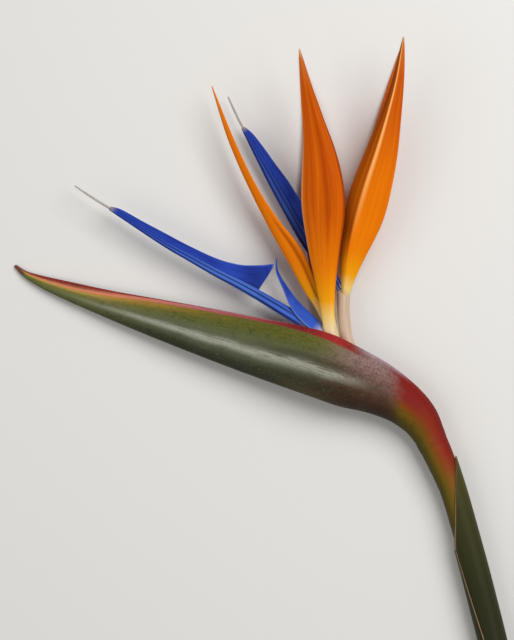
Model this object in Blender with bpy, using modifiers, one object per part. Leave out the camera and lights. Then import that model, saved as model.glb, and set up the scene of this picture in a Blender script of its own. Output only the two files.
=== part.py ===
"""A cut bird of paradise flower, lying on its side.

The inflorescence's own plane is level: +X runs from the beak of the spathe towards the stem,
+Y from the stem's cut end up to the sepals, and +Z out of the far side it lies on. Each floret
is built round a level mid plane, with a near half above it and a far half towards the surface.
Lengths in this file are millimetres; MM turns them into Blender's metres.
"""

from math import cos, pi, radians, sin

import bmesh
import bpy
from mathutils import Vector

MM = 0.001

# Driving dimensions, in millimetres.
SEAT_GAP = 0.3            # clearance between pieces that touch
FLORET_Z = 11.0           # height of both florets' mid plane where they leave the spathe
NODE_RADIUS = 6.8         # stem at the node, where spathe and floret stalks stand on it
SHEATHED_RADIUS = 5.6     # stem inside its sheath
SHEATH_WALL = 0.8
SPATHE_WALL = 1.0
SEPAL_WALL = 0.8
PETAL_WALL = 0.5

UP = Vector((0, 0, 1))


# ---------------------------------------------------------------- curves and profiles

def smooth(x):
    """0 to 1 with a level start and end."""
    x = min(max(x, 0.0), 1.0)
    return x * x * (3 - 2 * x)


def between(stations, position):
    """Read a value from (position, value) stations, eased from each to the next."""
    if position <= stations[0][0]:
        return stations[0][1]
    for (start, low), (end, high) in zip(stations, stations[1:]):
        if position <= end:
            return low + (high - low) * smooth((position - start) / (end - start))
    return stations[-1][1]


def leaf_width(v, base, peak, taper):
    """Width of a pointed blade at v of its length, as a share of its widest, from a narrow base."""
    if v < peak:
        return base + (1 - base) * smooth(v / peak)
    return max(1 - ((v - peak) / (1 - peak)) ** taper, 0.0)


class Path:
    """A smooth curve through hand-placed points, read by the share of its length."""

    STEPS = 16

    def __init__(self, *points):
        points = [Vector(point) for point in points]
        ends = [2 * points[0] - points[1]] + points + [2 * points[-1] - points[-2]]
        self.trace = []
        for before, start, end, after in zip(ends, ends[1:], ends[2:], ends[3:]):
            for step in range(self.STEPS):
                t = step / self.STEPS
                self.trace.append(0.5 * (2 * start + (end - before) * t
                                         + (2 * before - 5 * start + 4 * end - after) * t ** 2
                                         + (3 * start - before - 3 * end + after) * t ** 3))
        self.trace.append(points[-1])
        self.reach = [0.0]
        for a, b in zip(self.trace, self.trace[1:]):
            self.reach.append(self.reach[-1] + (b - a).length)
        self.length = self.reach[-1]

    def at(self, share):
        distance = min(max(share, 0.0), 1.0) * self.length
        for i, end in enumerate(self.reach[1:]):
            if distance <= end:
                part = (distance - self.reach[i]) / (end - self.reach[i])
                return self.trace[i].lerp(self.trace[i + 1], part)
        return self.trace[-1].copy()

    def heading(self, share):
        step = 0.01
        return (self.at(share + step) - self.at(share - step)).normalized()

    def frame(self, share, roll=0.0):
        """Place, across and face directions: the face looks up, turned by roll about the curve."""
        along = self.heading(share)
        across = along.cross(UP).normalized()
        face = across.cross(along)
        turned = across * cos(roll) - face * sin(roll)
        return self.at(share), turned, face * cos(roll) + across * sin(roll)


# ---------------------------------------------------------------- Blender helpers

def clear_scene():
    for item in list(bpy.data.objects):
        bpy.data.objects.remove(item)
    for group in list(bpy.data.collections):
        bpy.data.collections.remove(group)


def collection(name):
    group = bpy.data.collections.new(name)
    bpy.context.scene.collection.children.link(group)
    return group


def material(name, colour, roughness):
    finish = bpy.data.materials.new(name)
    finish.use_nodes = True
    shader = finish.node_tree.nodes["Principled BSDF"]
    shader.inputs["Base Color"].default_value = (*colour, 1)
    shader.inputs["Roughness"].default_value = roughness
    shader.inputs["Metallic"].default_value = 0.0
    finish.diffuse_color = (*colour, 1)
    return finish


def add(name, data, group, finish):
    item = bpy.data.objects.new(name, data)
    if finish:
        data.materials.append(finish)
    group.objects.link(item)
    return item


def sheet(name, surface, rows, columns, wall, group, finish):
    """A leaf: surface(v, u) for v 0 to 1 along and u -1 to 1 across, thickened both ways."""
    shape = bmesh.new()
    bmesh.ops.create_grid(shape, x_segments=columns, y_segments=rows, size=1)
    for corner in shape.verts:
        corner.co = surface((corner.co.y + 1) / 2, corner.co.x) * MM
    bmesh.ops.remove_doubles(shape, verts=shape.verts, dist=0.01 * MM)
    mesh = bpy.data.meshes.new(name)
    shape.to_mesh(mesh)
    shape.free()
    leaf = add(name, mesh, group, finish)
    thicken = leaf.modifiers.new("wall", "SOLIDIFY")
    thicken.thickness = wall * MM
    thicken.offset = 0
    mesh.shade_smooth()
    return leaf


def loft(name, rings, group, finish):
    """A closed solid through rings of equally many points, capped at both ends."""
    shape = bmesh.new()
    rows = [[shape.verts.new(point * MM) for point in ring] for ring in rings]
    for low, high in zip(rows, rows[1:]):
        for i in range(len(low)):
            j = (i + 1) % len(low)
            shape.faces.new((low[i], low[j], high[j], high[i]))
    shape.faces.new(rows[0])
    shape.faces.new(rows[-1])
    bmesh.ops.recalc_face_normals(shape, faces=shape.faces)
    mesh = bpy.data.meshes.new(name)
    shape.to_mesh(mesh)
    shape.free()
    mesh.shade_smooth()
    mesh.set_sharp_from_angle(angle=radians(40))
    return add(name, mesh, group, finish)


def tube(name, path, radius, count, group, finish, sides=2):
    """A round stalk along a path, with radius(share) and flat ends."""
    curve = bpy.data.curves.new(name, "CURVE")
    curve.dimensions = "3D"
    curve.bevel_depth = MM
    curve.bevel_resolution = sides
    curve.use_fill_caps = True
    line = curve.splines.new("POLY")
    line.points.add(count - 1)
    for i, point in enumerate(line.points):
        share = i / (count - 1)
        point.co = (*path.at(share) * MM, 1)
        point.radius = radius(share)
    return add(name, curve, group, finish)


def carve(target, cutter):
    cutter.hide_render = True
    cutter.display_type = "WIRE"
    cut = target.modifiers.new(cutter.name, "BOOLEAN")
    cut.operation = "DIFFERENCE"
    cut.solver = "EXACT"
    cut.object = cutter


# ---------------------------------------------------------------- stem and sheath

STEM = Path((69.75, -17.6, 6.85), (73.0, -23.6, 6.9), (77.6, -34.2, 6.9), (81.7, -45.5, 6.85),
            (87.7, -66.6, 6.85), (93.6, -89.0, 6.85), (101.0, -119.0, 6.85), (110.0, -159.6, 6.85))
SHEATH_TIP = 0.08         # share of the stem's length where the sheath's free tip ends
SHEATH_CLOSED = 0.39      # share where its margins meet round the stem


def stem_radius(share):
    return between([(0.0, NODE_RADIUS), (SHEATH_TIP, NODE_RADIUS - 0.3),
                    (SHEATH_TIP + 0.12, SHEATHED_RADIUS), (1.0, SHEATHED_RADIUS)], share)


def sheath_surface(v, u):
    """From the cut end (v 0) to the free tip (v 1), wrapping the stem from its outer side."""
    share = 1 - (1 - SHEATH_TIP) * v
    place, across, face = STEM.frame(share)
    opened = min(max((share - SHEATH_TIP) / (SHEATH_CLOSED - SHEATH_TIP), 0.0), 1.0)
    angle = radians(172) * opened ** 0.85 * u
    reach = stem_radius(share) + SEAT_GAP + SHEATH_WALL / 2 + 0.1
    return place - across * (reach * cos(angle)) + face * (reach * sin(angle))


def build_stem(group):
    tube("stem", STEM, stem_radius, 20, group, material("stem_green", (0.10, 0.10, 0.03), 0.45))
    sheet("stem_sheath", sheath_surface, 22, 16, SHEATH_WALL, group,
          material("sheath_green", (0.06, 0.07, 0.03), 0.5))


# ---------------------------------------------------------------- spathe

# Stations along the spathe: X and Y of the axis, half height, share of that for half width,
# and half the slit between the lips.
SPATHE_STATIONS = (
    (-116.2, 58.8, 0.6, 1.0, 0.25),
    (-111.5, 54.9, 1.4, 0.9, 0.3),
    (-106.0, 52.2, 2.3, 0.8, 0.4),
    (-95.9, 48.4, 3.7, 0.7, 0.7),
    (-74.2, 41.4, 6.1, 0.66, 0.9),
    (-52.6, 35.1, 8.7, 0.64, 1.0),
    (-31.1, 29.0, 11.0, 0.64, 1.1),
    (-9.5, 22.9, 13.0, 0.64, 1.5),
    (6.8, 18.5, 14.4, 0.65, 3.8),
    (21.0, 14.2, 15.0, 0.66, 5.6),
    (33.5, 9.6, 14.8, 0.68, 4.0),
    (46.5, 4.4, 12.8, 0.74, 1.0),
    (58.0, -2.6, 10.3, 0.82, 0.4),
    (65.2, -10.0, 8.4, 0.92, 0.3),
    (69.4, -17.0, 6.85, 1.0, 0.25),
)
CAVITY_FROM = 4           # station where the hollow starts behind the solid beak
SLIT_FROM = 3
SLIT_TO = 10
LIP = 0.6                 # thickness of the lips along the slit


def boat_section(height, width, slit, sides=10):
    """Half section from the lip round to the keel, as (up, out) offsets from the axis."""
    points = []
    for i in range(sides + 1):
        angle = pi * i / sides
        out = width * sin(angle) ** (1.5 + 0.5 * cos(angle)) + slit * ((1 + cos(angle)) / 2) ** 2
        points.append((height * cos(angle), out))
    return points


class SpatheAxis:
    """The spathe's stations as smooth curves; it lies with its far side on the surface."""

    def __init__(self):
        self.path = Path(*[(x, y, 0) for x, y, *rest in SPATHE_STATIONS])
        self.size = Path(*[(h, h * share, slit) for x, y, h, share, slit in SPATHE_STATIONS])
        self.spans = len(SPATHE_STATIONS) - 1

    def station(self, position):
        """Place, up direction and section sizes at a station number, whole or between."""
        step = Path.STEPS
        index = min(round(position * step), self.spans * step)
        near, far = max(index - 1, 0), min(index + 1, self.spans * step)
        along = (self.path.trace[far] - self.path.trace[near]).normalized()
        up = UP.cross(along)
        height, width, slit = self.size.trace[index]
        place = self.path.trace[index] + UP * rest_height(height, width, slit)
        return place, up, height, width, slit


def rest_height(height, width, slit):
    """How high the axis lies when the far side touches the surface."""
    return max(out for _, out in boat_section(height, width, slit))


def boat_ring(place, up, half):
    """Both halves of a section: round the near side from lip to keel, back up the far side."""
    near = [place + up * rise + UP * out for rise, out in half]
    far = [place + up * rise - UP * out for rise, out in reversed(half)]
    return near + (far[1:] if half[-1][1] < 1e-6 else far)


def build_spathe(group, cutters):
    axis = SpatheAxis()
    ring_steps = [i / 2 for i in range(2 * axis.spans + 1)]

    outer = []
    for position in ring_steps:
        place, up, height, width, slit = axis.station(position)
        outer.append(boat_ring(place, up, boat_section(height, width, slit)))
    spathe = loft("spathe", outer, group, material("spathe_green", (0.16, 0.19, 0.08), 0.5))

    hollow = []
    for position in [p for p in ring_steps if p >= CAVITY_FROM] + [axis.spans]:
        place, up, height, width, slit = axis.station(position)
        half = boat_section(height - SPATHE_WALL, width - SPATHE_WALL, max(slit - LIP, 0.1))
        hollow.append(boat_ring(place, up, half))
    past_end = (hollow[-1][0] - hollow[-3][0]).normalized() * 2
    hollow[-1] = [point + past_end for point in hollow[-1]]
    carve(spathe, loft("spathe_hollow", hollow, cutters, None))

    slit_rings = []
    for position in [p for p in ring_steps if SLIT_FROM <= p <= SLIT_TO + 0.5]:
        place, up, height, width, slit = axis.station(position)
        half_gap = max(slit - LIP, 0.25)
        top, floor = up * (height + 3), up * (height * 0.3)
        slit_rings.append([place + floor - UP * half_gap, place + floor + UP * half_gap,
                           place + top + UP * half_gap, place + top - UP * half_gap])
    carve(spathe, loft("spathe_slit", slit_rings, cutters, None))


# ---------------------------------------------------------------- florets

def blade(name, path, shape, roll, group, finish, rows=16, columns=4, wall=SEPAL_WALL):
    """A pointed boat with its ridge on the path and its margins folded back from the face.

    shape gives half the width and the fold, as (share of the length, millimetres) stations or
    as (size, base, peak, taper) of leaf_width.
    """
    half_width, fold = (size if isinstance(size, tuple) else tuple(size) for size in shape)

    def read(size, v):
        if isinstance(size[0], tuple):
            return between(size, v)
        widest, base, peak, taper = size
        return widest * leaf_width(v, base, peak, taper)

    def surface(v, u):
        place, across, face = path.frame(v, radians(roll))
        return place + across * (read(half_width, v) * u) - face * (read(fold, v) * u * u)
    return sheet(name, surface, rows, columns, wall, group, finish)


def arrow_petal(name, path, side, rod, barb, group, finish):
    """Half of the arrow, from its tip to its base: a gutter round the style, and a wing.

    rod is the gutter's half height in stations. barb is (share of the length where the wing
    ends in its barb, its height there, and the power its height grows by).
    """
    end, height, power = barb
    gutter = 0.1                   # u where the gutter ends and the wing begins
    wing_rows = 0.68               # share of the mesh rows that the wing takes
    lean = 0.22                    # how far the wing leans out of the mid plane

    def surface(v, u):
        if v < wing_rows + 0.01:
            share = min(end * v / wing_rows, end)
        else:
            share = end + 0.004 + (0.996 - end) * (v - wing_rows) / (1 - wing_rows)
        place, across, _ = path.frame(share)
        reach = between(rod, share)
        middle = 0.45              # half the slot that the style's plane leaves between petals
        if u <= gutter:
            angle = pi * (u + 1) / (gutter + 1)
            rise, out = -reach * cos(angle), middle + reach * 0.85 * sin(angle)
        else:
            tall = height * (share / end) ** power if share <= end else 0.0
            step = tall * (u - gutter) / (1 - gutter)
            rise, out = reach + step, middle + step * lean
        return place - across * rise + UP * (side * out)
    return sheet(name, surface, 25, 10, PETAL_WALL, group, finish)


class Floret:
    """One floret's pieces, named after it."""

    def __init__(self, name, group, finishes):
        self.name = name
        self.group = group
        self.orange, self.blue, self.pale, self.stalk_tone = finishes

    def stalk(self, points, radii):
        path = Path(*points)
        count = len(radii) - 1
        stations = [(i / count, radius) for i, radius in enumerate(radii)]
        tube(f"{self.name}_stalk", path, lambda share: between(stations, share), 16,
             self.group, self.stalk_tone)

    def sepal(self, which, points, half_width, fold, roll=0):
        blade(f"{self.name}_sepal_{which}", Path(*points), (half_width, fold), roll,
              self.group, self.orange)

    def arrow(self, points, rod, barb):
        path = Path(*points)
        for which, side in (("near", 1), ("far", -1)):
            arrow_petal(f"{self.name}_arrow_petal_{which}", path, side, rod, barb,
                        self.group, self.blue)

    def short_petal(self, points, half_width, fold):
        blade(f"{self.name}_short_petal", Path(*points), (half_width, fold), 90,
              self.group, self.blue, rows=12, wall=PETAL_WALL)

    def style(self, points, radii):
        path = Path(*points)
        tube(f"{self.name}_style", path, lambda share: between(radii, share), 20,
             self.group, self.pale, sides=1)


def build_first_floret(group, finishes):
    """The older floret, whose arrow points along the spathe."""
    floret = Floret("flower_1", group, finishes)
    z = FLORET_Z
    floret.stalk([(67.1, -18.4, 6.9), (62.5, -10.4, 8), (50, -2.5, 9.5), (38, 5, z), (29.5, 14, z),
                  (25.2, 26.8, z)], [2.4, 2.4, 2.6, 3.2, 3.8, 4.2])
    floret.sepal("median", [(25.0, 28.0, z), (19.1, 39.8, z), (14.3, 46.9, z + 0.5),
                            (6.2, 61.4, z + 1), (-1.8, 75.8, z + 1.5), (-9.2, 90.4, z + 2),
                            (-15.8, 104.8, z + 2), (-21.4, 119.2, z + 2), (-27.5, 139.4, z + 2)],
                 (4.0, 0.4, 0.38, 1.2),
                 ((0, 1.8), (0.13, 4.7), (0.27, 7.8), (0.36, 7.4), (0.43, 5.8), (0.57, 3.6),
                  (0.83, 2.1), (1, 0.2)), -88)
    floret.sepal("near", [(26.8, 27.8, z + 3.0), (22.8, 54.0, z + 9), (21.8, 88.0, z + 17),
                          (18.6, 122.0, z + 22.5), (11.7, 155.7, z + 25)],
                 (10.1, 0.3, 0.47, 1.12), (2.8, 0.1, 0.47, 1.25))
    floret.sepal("far", [(26.8, 27.8, z - 3.0), (22.8, 50.0, 2.8), (21.8, 88.0, 0.8),
                         (18.6, 122.0, 0.5), (11.9, 153.0, 0.5)],
                 (9.0, 0.3, 0.47, 1.25), (-2.6, 0.1, 0.47, 1.25))
    arrow = [(-73.4, 84.6, z), (-50.9, 71.6, z), (-28.4, 57.2, z), (-5.0, 43.2, z),
             (9.0, 35.2, z), (17.4, 30.6, z), (22.2, 26.9, z)]
    floret.arrow(arrow, ((0, 0.9), (0.25, 1.7), (0.5, 2.1), (0.85, 2.2), (1, 1.2)),
                 (0.665, 13.4, 3.2))
    floret.short_petal([(21.6, 32.7, z), (17.0, 36.9, z), (12.0, 41.8, z), (8.4, 47.3, z),
                        (3.6, 55.4, z), (1.4, 61.9, z)],
                       ((0, 3.4), (0.3, 3.4), (1, 0.3)),
                       ((0, 4.6), (0.2, 5.4), (0.4, 4.5), (0.62, 2.3), (0.82, 1.0), (1, 0.1)))
    floret.style(arrow[::-1] + [(-81.5, 89.4, z), (-89.1, 94.5, z)],
                 [(0, 0.5), (0.8, 0.5), (1, 0.3)])


def build_second_floret(group, finishes):
    """The younger floret, behind the first, with its arrow pointing up."""
    floret = Floret("flower_2", group, finishes)
    z = FLORET_Z
    floret.stalk([(71.9, -15.9, 6.9), (67.4, -7.8, 8), (56.5, 3.5, 9.5), (45.5, 10.5, z),
                  (37.5, 16.5, z), (33.4, 25, z), (31.8, 36, z), (31.6, 46.6, z)],
                 [2.4, 2.4, 2.6, 2.8, 2.7, 2.2, 2.5, 2.8])
    floret.sepal("median", [(33.2, 47.2, z), (35.6, 62.0, z), (39.8, 84.0, z + 1),
                            (47.4, 108.0, z + 1), (55.2, 138.0, z + 1)],
                 (3.6, 0.32, 0.42, 1.25), (3.4, 0.2, 0.42, 1.25), -88)
    floret.sepal("near", [(33.6, 47.2, z + 2.4), (35.8, 62.0, z + 7), (41.4, 84.0, z + 12.5),
                          (49.4, 110.0, z + 16), (56.0, 139.0, z + 18.5), (58.5, 161.1, z + 19)],
                 (9.5, 0.2, 0.30, 1.25), (3.6, 0.05, 0.35, 1.25), 8)
    floret.sepal("far", [(33.6, 47.2, z - 2.4), (35.6, 60.0, 4.4), (40.8, 84.0, 0.95),
                         (48.6, 110.0, 0.5), (58.0, 158.0, 0.5)],
                 (8.2, 0.2, 0.36, 1.4), (-3.0, 0.05, 0.35, 1.25))
    arrow = [(-13.5, 120.6, z - 4), (-4.0, 103.0, z - 4), (4.5, 87.5, z - 3.6),
             (13.5, 71.5, z - 3), (21.6, 59.5, z - 2), (27.6, 52.0, z - 0.6), (30.0, 47.3, z)]
    floret.arrow(arrow, ((0, 0.9), (0.25, 1.8), (0.5, 2.2), (0.8, 2.0), (1, 0.8)),
                 (0.64, 7.4, 2.2))
    floret.short_petal([(31.4, 48.6, z), (28.4, 55.2, z - 1), (24.4, 63.0, z - 1),
                        (20.5, 70.0, z)],
                       ((0, 2.6), (0.4, 2.6), (1, 0.3)), ((0, 1.0), (0.5, 1.6), (1, 0.1)))
    floret.style(arrow[::-1] + [(-17.0, 127.5, z - 4), (-20.2, 134.6, z - 4)],
                 [(0, 0.4), (0.8, 0.5), (1, 0.3)])


def build_flower():
    clear_scene()
    flower = collection("bird_of_paradise_flower")
    cutters = collection("cutters")
    build_stem(flower)
    build_spathe(flower, cutters)
    orange = material("sepal_orange", (0.75, 0.20, 0.005), 0.45)
    blue = material("petal_blue", (0.01, 0.05, 0.45), 0.4)
    pale = material("style_grey", (0.50, 0.45, 0.38), 0.6)
    build_first_floret(flower, (orange, blue, pale, material("stalk_cream", (0.7, 0.6, 0.4), 0.5)))
    build_second_floret(flower, (orange, blue, pale, material("stalk_pink", (0.6, 0.4, 0.3), 0.5)))


build_flower()
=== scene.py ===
"""The looks of a cut bird of paradise flower, lying on its side and seen from above.

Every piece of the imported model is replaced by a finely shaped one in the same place. A stalk or
a sepal is swept straight along X, then bent along its route. Routes and sizes are millimetres,
in the model's own frame, and MM turns them into metres.
"""

from math import cos, pi, radians, sin

import bmesh
import bpy
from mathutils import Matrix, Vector


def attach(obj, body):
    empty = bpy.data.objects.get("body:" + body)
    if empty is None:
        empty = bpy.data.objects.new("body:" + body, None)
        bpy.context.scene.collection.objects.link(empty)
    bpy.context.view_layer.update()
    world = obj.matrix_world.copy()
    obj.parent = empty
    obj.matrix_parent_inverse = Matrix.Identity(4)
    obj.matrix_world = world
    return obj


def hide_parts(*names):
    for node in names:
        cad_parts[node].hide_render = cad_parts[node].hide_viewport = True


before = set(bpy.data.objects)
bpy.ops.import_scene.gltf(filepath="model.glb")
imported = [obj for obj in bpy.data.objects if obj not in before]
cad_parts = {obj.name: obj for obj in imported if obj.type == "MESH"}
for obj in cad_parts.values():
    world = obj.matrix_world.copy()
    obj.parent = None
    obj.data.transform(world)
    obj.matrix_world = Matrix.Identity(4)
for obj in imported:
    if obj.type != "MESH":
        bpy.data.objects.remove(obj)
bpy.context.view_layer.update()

MM = 0.001
UP = Vector((0, 0, 1))
ORIGIN = (0, 0, 0)

# The sheath's upper margin is cut square to X. Its lower margin, which laps over, is cut along a
# tilted plane, given by a point on it and the way it faces.
SHEATH_FRONT = 81.9
LAP_POINT = (84.0, -74.3, 9.4)
LAP_FACING = (0.605, 0.249, 0.756)

# A pointed blade keeps this share of its widest at its very tip.
TIP_SHARE = 0.012


# ---------------------------------------------------------------- curves and profiles

def smooth(x):
    """0 to 1 with a level start and end."""
    x = min(max(x, 0.0), 1.0)
    return x * x * (3 - 2 * x)


def flow(*stations):
    """A smooth rule through (position, value) stations, level beyond both ends."""
    ends = (stations[0], *stations, stations[-1])

    def read(position):
        if position <= stations[0][0]:
            return stations[0][1]
        for before, start, end, after in zip(ends, ends[1:], ends[2:], ends[3:]):
            if position <= end[0]:
                span = end[0] - start[0]
                leave = (end[1] - before[1]) / (end[0] - before[0]) * span
                arrive = (after[1] - start[1]) / (after[0] - start[0]) * span
                t = (position - start[0]) / span
                return (start[1] * (2 * t ** 3 - 3 * t * t + 1) + leave * (t ** 3 - 2 * t * t + t)
                        + end[1] * (3 * t * t - 2 * t ** 3) + arrive * (t ** 3 - t * t))
        return stations[-1][1]
    return read


def leaf_width(widest, base, peak, taper):
    """Width along a pointed blade: its widest at peak, base times that at its foot."""
    def width(share):
        if share < peak:
            return widest * (base + (1 - base) * smooth(share / peak))
        return widest * max(1 - ((share - peak) / (1 - peak)) ** taper, TIP_SHARE)
    return width


class Path:
    """A smooth curve through given points, read by the share of its length."""

    STEPS = 16

    def __init__(self, *points):
        points = [Vector(point) for point in points]
        ends = [2 * points[0] - points[1]] + points + [2 * points[-1] - points[-2]]
        self.trace = []
        for before, start, end, after in zip(ends, ends[1:], ends[2:], ends[3:]):
            for step in range(self.STEPS):
                t = step / self.STEPS
                self.trace.append(0.5 * (2 * start + (end - before) * t
                                         + (2 * before - 5 * start + 4 * end - after) * t ** 2
                                         + (3 * start - before - 3 * end + after) * t ** 3))
        self.trace.append(points[-1])
        self.reach = [0.0]
        for a, b in zip(self.trace, self.trace[1:]):
            self.reach.append(self.reach[-1] + (b - a).length)
        self.length = self.reach[-1]

    def at(self, share):
        distance = min(max(share, 0.0), 1.0) * self.length
        for i, end in enumerate(self.reach[1:]):
            if distance <= end:
                part = (distance - self.reach[i]) / (end - self.reach[i])
                return self.trace[i].lerp(self.trace[i + 1], part)
        return self.trace[-1].copy()

    def frame(self, share):
        """Place, across and face directions of the curve, the face looking up."""
        step = 0.01
        along = (self.at(share + step) - self.at(share - step)).normalized()
        across = along.cross(UP).normalized()
        return self.at(share), across, across.cross(along)


# ---------------------------------------------------------------- modelling by hand

def pick(piece, wanted):
    """Select only the points whose place, in millimetres, is wanted."""
    shape = bmesh.from_edit_mesh(piece.data)
    for corner in shape.verts:
        corner.select = wanted(corner.co / MM)
    shape.select_flush_mode()
    bmesh.update_edit_mesh(piece.data)


def select_only(piece):
    bpy.ops.object.select_all(action="DESELECT")
    piece.select_set(True)
    bpy.context.view_layer.objects.active = piece


def apply(piece, kind, **settings):
    """Add a modifier and apply it."""
    select_only(piece)
    added = piece.modifiers.new(kind.lower(), kind)
    for name, value in settings.items():
        setattr(added, name, value)
    bpy.ops.object.modifier_apply(modifier=added.name)


def ring(name, sides, filled=False):
    """A circle of radius 1 mm facing along X, left in edit mode and selected."""
    bpy.ops.object.select_all(action="DESELECT")
    bpy.ops.mesh.primitive_circle_add(vertices=sides, radius=MM, rotation=(0, pi / 2, 0),
                                      fill_type="NGON" if filled else "NOTHING")
    piece = bpy.context.active_object
    piece.name = piece.data.name = name
    bpy.ops.object.transform_apply(location=False, rotation=True, scale=True)
    bpy.ops.object.mode_set(mode="EDIT")
    bpy.ops.mesh.select_all(action="SELECT")
    return piece


def arch(name):
    """An open arch across Y with its crown at the origin, 1 mm to each side and 1 mm deep."""
    half, just_past = radians(50), radians(52)
    piece = ring(name, 36)
    pick(piece, lambda place: place.z < cos(just_past))
    bpy.ops.mesh.delete(type="VERT")
    bpy.ops.mesh.select_all(action="SELECT")
    bpy.ops.transform.translate(value=(0, 0, -MM))
    bpy.ops.transform.resize(value=(1, 1 / sin(half), 1 / (1 - cos(half))),
                             center_override=ORIGIN)
    return piece


def sweep(stations, grow=bpy.ops.mesh.extrude_edges_move):
    """Extrude the selected outline along X through (distance, height, depth) stations."""
    last, tall, deep = stations[0]
    bpy.ops.transform.resize(value=(1, tall, deep), center_override=ORIGIN)
    for distance, taller, deeper in stations[1:]:
        grow(TRANSFORM_OT_translate={"value": ((distance - last) * MM, 0, 0)})
        bpy.ops.transform.resize(value=(1, taller / tall, deeper / deep),
                                 center_override=(distance * MM, 0, 0))
        last, tall, deep = distance, taller, deeper


def grained_points(piece):
    """Each point with its mark in a new attribute, which the materials follow."""
    grain = piece.data.attributes.new("grain", "FLOAT_VECTOR", "POINT")
    return zip(piece.data.vertices, grain.data)


def keep_grain(piece, read):
    """Store where each point lies along and across the tissue."""
    for corner, mark in grained_points(piece):
        mark.vector = read(corner.co / MM)


def bend_along(piece, path, roll=0.0):
    """Bend a straight piece along a route, its top facing up and then rolled to its right."""
    route = bpy.data.curves.new("route", "CURVE")
    route.dimensions = "3D"
    route.twist_mode = "Z_UP"
    line = route.splines.new("POLY")
    line.points.add(len(path.trace) - 1)
    for point, place in zip(line.points, path.trace):
        point.co = (*(place * MM), 1)
        point.tilt = radians(roll)
    guide = bpy.data.objects.new("route", route)
    bpy.context.scene.collection.objects.link(guide)
    apply(piece, "CURVE", object=guide, deform_axis="POS_X")
    bpy.data.objects.remove(guide)


def soften(piece, levels):
    apply(piece, "SUBSURF", levels=levels, render_levels=levels)
    piece.data.shade_smooth()


def object_mode():
    bpy.ops.object.mode_set(mode="OBJECT")


def grid(name, rows, columns, surface):
    """A sheet with points at surface(v, u), v 0 to 1 along and u -1 to 1 across."""
    bpy.ops.object.select_all(action="DESELECT")
    bpy.ops.mesh.primitive_grid_add(x_subdivisions=columns, y_subdivisions=rows, size=2 * MM)
    piece = bpy.context.active_object
    piece.name = piece.data.name = name
    for corner, mark in grained_points(piece):
        v, u = (corner.co.y / MM + 1) / 2, corner.co.x / MM
        corner.co = surface(v, u) * MM
        mark.vector = (v, u, 0)
    return piece


def cut_away(piece, point, normal):
    """Cut a piece with a plane and delete what lies beyond it."""
    select_only(piece)
    bpy.ops.object.mode_set(mode="EDIT")
    bpy.ops.mesh.select_all(action="SELECT")
    bpy.ops.mesh.bisect(plane_co=Vector(point) * MM, plane_no=normal, clear_outer=True)
    object_mode()


def finish_piece(piece, material, node):
    piece.data.materials.clear()
    piece.data.materials.append(material)
    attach(piece, "root")
    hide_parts(node)


# ---------------------------------------------------------------- shader maths

def tint(red, green, blue):
    """A colour given as it shows, 0 to 255, in the linear light that shaders use."""
    def linear(level):
        level /= 255
        return level / 12.92 if level <= 0.04045 else ((level + 0.055) / 1.055) ** 2.4
    return (linear(red), linear(green), linear(blue), 1.0)


class Value:
    """A number that varies over a surface; sums on it add the Math nodes."""

    def __init__(self, finish, socket):
        self.finish = finish
        self.socket = socket

    def math(self, operation, *others):
        numbers = {str(i): number for i, number in enumerate((self, *others))}
        node = self.finish.node("ShaderNodeMath", {"operation": operation}, **numbers)
        return Value(self.finish, node.outputs[0])

    def __add__(self, other):
        return self.math("ADD", other)

    def __sub__(self, other):
        return self.math("SUBTRACT", other)

    def __mul__(self, other):
        return self.math("MULTIPLY", other)

    def __neg__(self):
        return self.math("MULTIPLY", -1.0)

    def __rsub__(self, other):
        return -self + other

    __radd__ = __add__
    __rmul__ = __mul__

    def size(self):
        return self.math("ABSOLUTE")

    def rise(self, low, high):
        """0 below low, 1 above high and eased between; falling where low is above high."""
        if low > high:
            return 1 - self.rise(high, low)
        node = self.finish.node("ShaderNodeMapRange", {"interpolation_type": "SMOOTHSTEP"},
                                Value=self, **{"From Min": low, "From Max": high})
        return Value(self.finish, node.outputs["Result"])


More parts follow.
